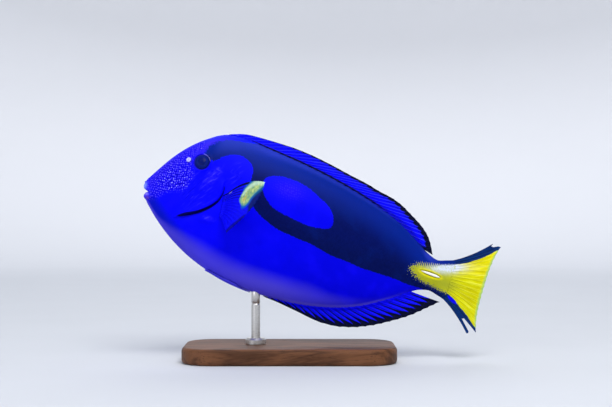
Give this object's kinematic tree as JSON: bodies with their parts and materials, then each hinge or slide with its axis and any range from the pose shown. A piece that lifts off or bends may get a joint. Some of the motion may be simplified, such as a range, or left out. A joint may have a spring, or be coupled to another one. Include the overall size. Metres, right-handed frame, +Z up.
{
  "type": "regal blue tang display model",
  "caption": "Life-size regal blue tang with raised fin rays, set-in eyes, a tail spine on each side and spread breast fins, held head up on a low wooden stand.",
  "frame": {"origin": "centre of the stand base's underside, on the floor", "axes": "-X towards the fish's head, +Z up, -Y towards the fish's left side; the fish is tilted head up by 16.3 degrees about Y"},
  "size_m": [0.2427, 0.113, 0.1538],
  "materials": {
    "blue_skin": "wet scaled skin, saturated blue with navy-black markings, slightly glossy",
    "fin_skin": "blue fin membrane over raised rays, dark outer margin",
    "tail_skin": "yellow fin membrane over raised rays, navy bands above and below",
    "eye": "dark glossy eye",
    "spine": "smooth ivory-coloured horny spine",
    "stand_wood": "dark stained wood, satin varnish",
    "stand_steel": "brushed steel rod and collar"
  },
  "bodies": {
    "root": {"head": "blue_skin", "torso": "blue_skin", "tail_stem": "blue_skin", "dorsal_fin": "fin_skin", "anal_fin": "fin_skin", "caudal_fin": "tail_skin", "pectoral_fin_left": "fin_skin", "pectoral_fin_right": "fin_skin", "pelvic_fin_left": "fin_skin", "pelvic_fin_right": "fin_skin", "eye_left": "eye", "eye_right": "eye", "tail_spine_left": "spine", "tail_spine_right": "spine", "stand_base": "stand_wood", "stand_rod": "stand_steel", "stand_collar": "stand_steel"}
  },
  "joints": []
}
